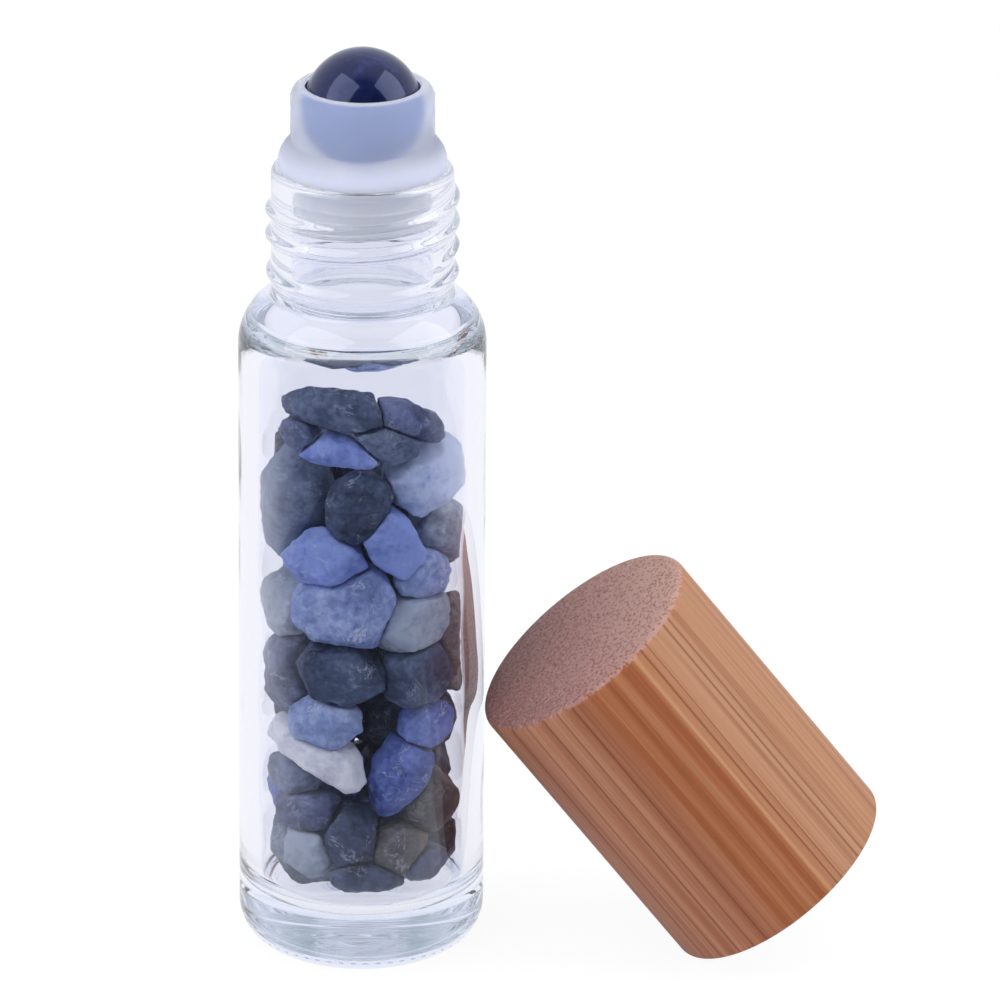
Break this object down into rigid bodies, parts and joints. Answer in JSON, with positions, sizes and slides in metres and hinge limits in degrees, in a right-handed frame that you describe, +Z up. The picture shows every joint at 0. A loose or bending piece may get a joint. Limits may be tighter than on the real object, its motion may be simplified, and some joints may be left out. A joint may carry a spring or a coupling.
{
  "type": "roll-on bottle",
  "caption": "Clear glass roll-on bottle filled with tumbled stone chips, with a frosted roller insert, a polished stone ball and a bamboo screw cap leaning on its side.",
  "frame": {"origin": "centre of the bottle's base, on the surface that it stands on", "axes": "+Z up along the bottle's axis; +X towards the cap that leans on its right side; -Y towards the viewer"},
  "size_m": [0.052, 0.0228, 0.0767],
  "materials": {
    "clear_glass": "clear, smooth",
    "frosted_plastic": "frosted, translucent",
    "polished_stone": "polished",
    "bamboo": "satin, carbonised bamboo",
    "liner_plastic": "moulded, satin",
    "blue_stone": "tumbled, satin",
    "brown_stone": "tumbled, satin",
    "grey_stone": "tumbled, satin",
    "indigo_stone": "tumbled, satin",
    "ivory_stone": "tumbled, satin",
    "pale_stone": "tumbled, satin",
    "slate_stone": "tumbled, satin"
  },
  "bodies": {
    "bottle": {"glass_bottle": "clear_glass", "chip_blue_04": "blue_stone", "chip_blue_09": "blue_stone", "chip_blue_10": "blue_stone", "chip_blue_22": "blue_stone", "chip_blue_23": "blue_stone", "chip_blue_37": "blue_stone", "chip_blue_48": "blue_stone", "chip_brown_16": "brown_stone", "chip_brown_28": "brown_stone", "chip_brown_29": "brown_stone", "chip_brown_41": "brown_stone", "chip_grey_11": "grey_stone", "chip_grey_13": "grey_stone", "chip_grey_15": "grey_stone", "chip_grey_26": "grey_stone", "chip_grey_34": "grey_stone", "chip_grey_45": "grey_stone", "chip_grey_47": "grey_stone", "chip_indigo_02": "indigo_stone", "chip_indigo_03": "indigo_stone", "chip_indigo_17": "indigo_stone", "chip_indigo_25": "indigo_stone", "chip_indigo_30": "indigo_stone", "chip_indigo_33": "indigo_stone", "chip_indigo_35": "indigo_stone", "chip_indigo_39": "indigo_stone", "chip_indigo_46": "indigo_stone", "chip_indigo_52": "indigo_stone", "chip_ivory_21": "ivory_stone", "chip_pale_06": "pale_stone", "chip_pale_12": "pale_stone", "chip_pale_14": "pale_stone", "chip_pale_20": "pale_stone", "chip_pale_43": "pale_stone", "chip_pale_51": "pale_stone", "chip_slate_01": "slate_stone", "chip_slate_05": "slate_stone", "chip_slate_07": "slate_stone", "chip_slate_08": "slate_stone", "chip_slate_18": "slate_stone", "chip_slate_19": "slate_stone", "chip_slate_24": "slate_stone", "chip_slate_27": "slate_stone", "chip_slate_31": "slate_stone", "chip_slate_32": "slate_stone", "chip_slate_36": "slate_stone", "chip_slate_38": "slate_stone", "chip_slate_40": "slate_stone", "chip_slate_42": "slate_stone", "chip_slate_44": "slate_stone", "chip_slate_49": "slate_stone", "chip_slate_50": "slate_stone"},
    "roller_insert": {"roller_housing": "frosted_plastic"},
    "ball": {"roller_ball": "polished_stone"},
    "cap": {"bamboo_cap": "bamboo", "cap_liner": "liner_plastic"}
  },
  "joints": [
    {"name": "insert_pull", "type": "slide", "parent": "bottle", "child": "roller_insert", "axis": [0, 0, 1], "range_m": [0, 0.016]},
    {"name": "ball_roll", "type": "hinge", "parent": "roller_insert", "child": "ball", "pos_m": [0, 0, 0.07191], "axis": [1, 0, 0], "continuous": true},
    {"name": "cap_lift", "type": "slide", "parent": "bottle", "child": "cap", "axis": [0, 0, 1], "range_m": [0, 0.1]}
  ]
}
